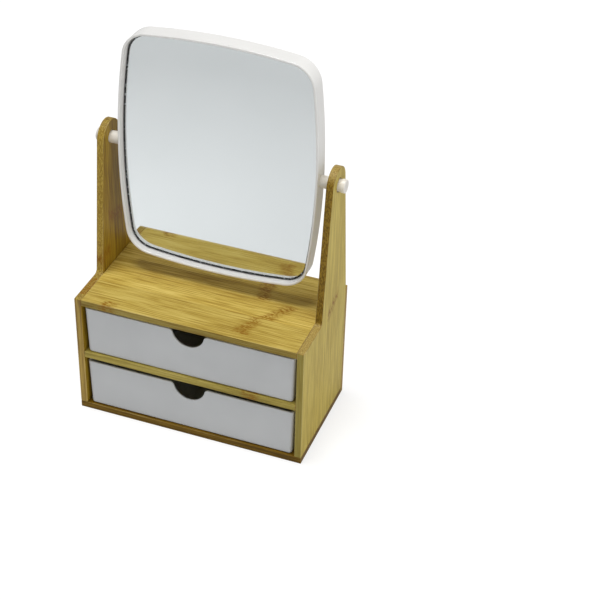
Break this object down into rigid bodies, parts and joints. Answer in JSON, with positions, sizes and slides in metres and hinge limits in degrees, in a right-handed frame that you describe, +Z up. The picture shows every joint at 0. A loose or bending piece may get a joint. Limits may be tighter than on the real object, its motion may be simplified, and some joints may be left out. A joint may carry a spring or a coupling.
{
  "type": "makeup mirror with drawers",
  "caption": "Free-standing tilting makeup mirror between bamboo uprights, on a case with two white pull-out drawers with finger notches.",
  "frame": {"origin": "centre of the case's rectangular footprint, on the surface that it stands on", "axes": "+Z up, -Y the front with the drawers, +X to the right of someone who faces the front"},
  "size_m": [0.2118, 0.1046, 0.3312],
  "materials": {
    "bamboo": "sanded laminated bamboo with a thin satin lacquer",
    "dowel_wood": "plain",
    "brad_steel": "plain steel",
    "drawer_plastic": "matte moulded polypropylene",
    "frame_plastic": "semi-gloss moulded ABS",
    "mirror_glass": "silvered float glass with a ground edge",
    "foam_tape": "black foam",
    "pin_plastic": "semi-gloss moulded ABS"
  },
  "bodies": {
    "case": {"bottom_board": "bamboo", "left_side_panel": "bamboo", "right_side_panel": "bamboo", "top_board": "bamboo", "middle_shelf": "bamboo", "back_panel": "bamboo", "bottom_board_dowels": "dowel_wood", "middle_shelf_dowels": "dowel_wood", "top_board_dowels": "dowel_wood", "back_panel_brads": "brad_steel"},
    "upper_drawer": {"upper_drawer": "drawer_plastic"},
    "lower_drawer": {"lower_drawer": "drawer_plastic"},
    "mirror": {"mirror_frame": "frame_plastic", "front_glass": "mirror_glass", "rear_glass": "mirror_glass", "front_tape": "foam_tape", "rear_tape": "foam_tape", "left_pivot_pin": "pin_plastic", "right_pivot_pin": "pin_plastic"}
  },
  "joints": [
    {"name": "mirror_tilt", "type": "hinge", "parent": "case", "child": "mirror", "pos_m": [0, 0.01735, 0.22901], "axis": [1, 0, 0], "continuous": true},
    {"name": "upper_drawer_slide", "type": "slide", "parent": "case", "child": "upper_drawer", "axis": [0, -1, 0], "range_m": [0, 0.085]},
    {"name": "lower_drawer_slide", "type": "slide", "parent": "case", "child": "lower_drawer", "axis": [0, -1, 0], "range_m": [0, 0.085]}
  ]
}
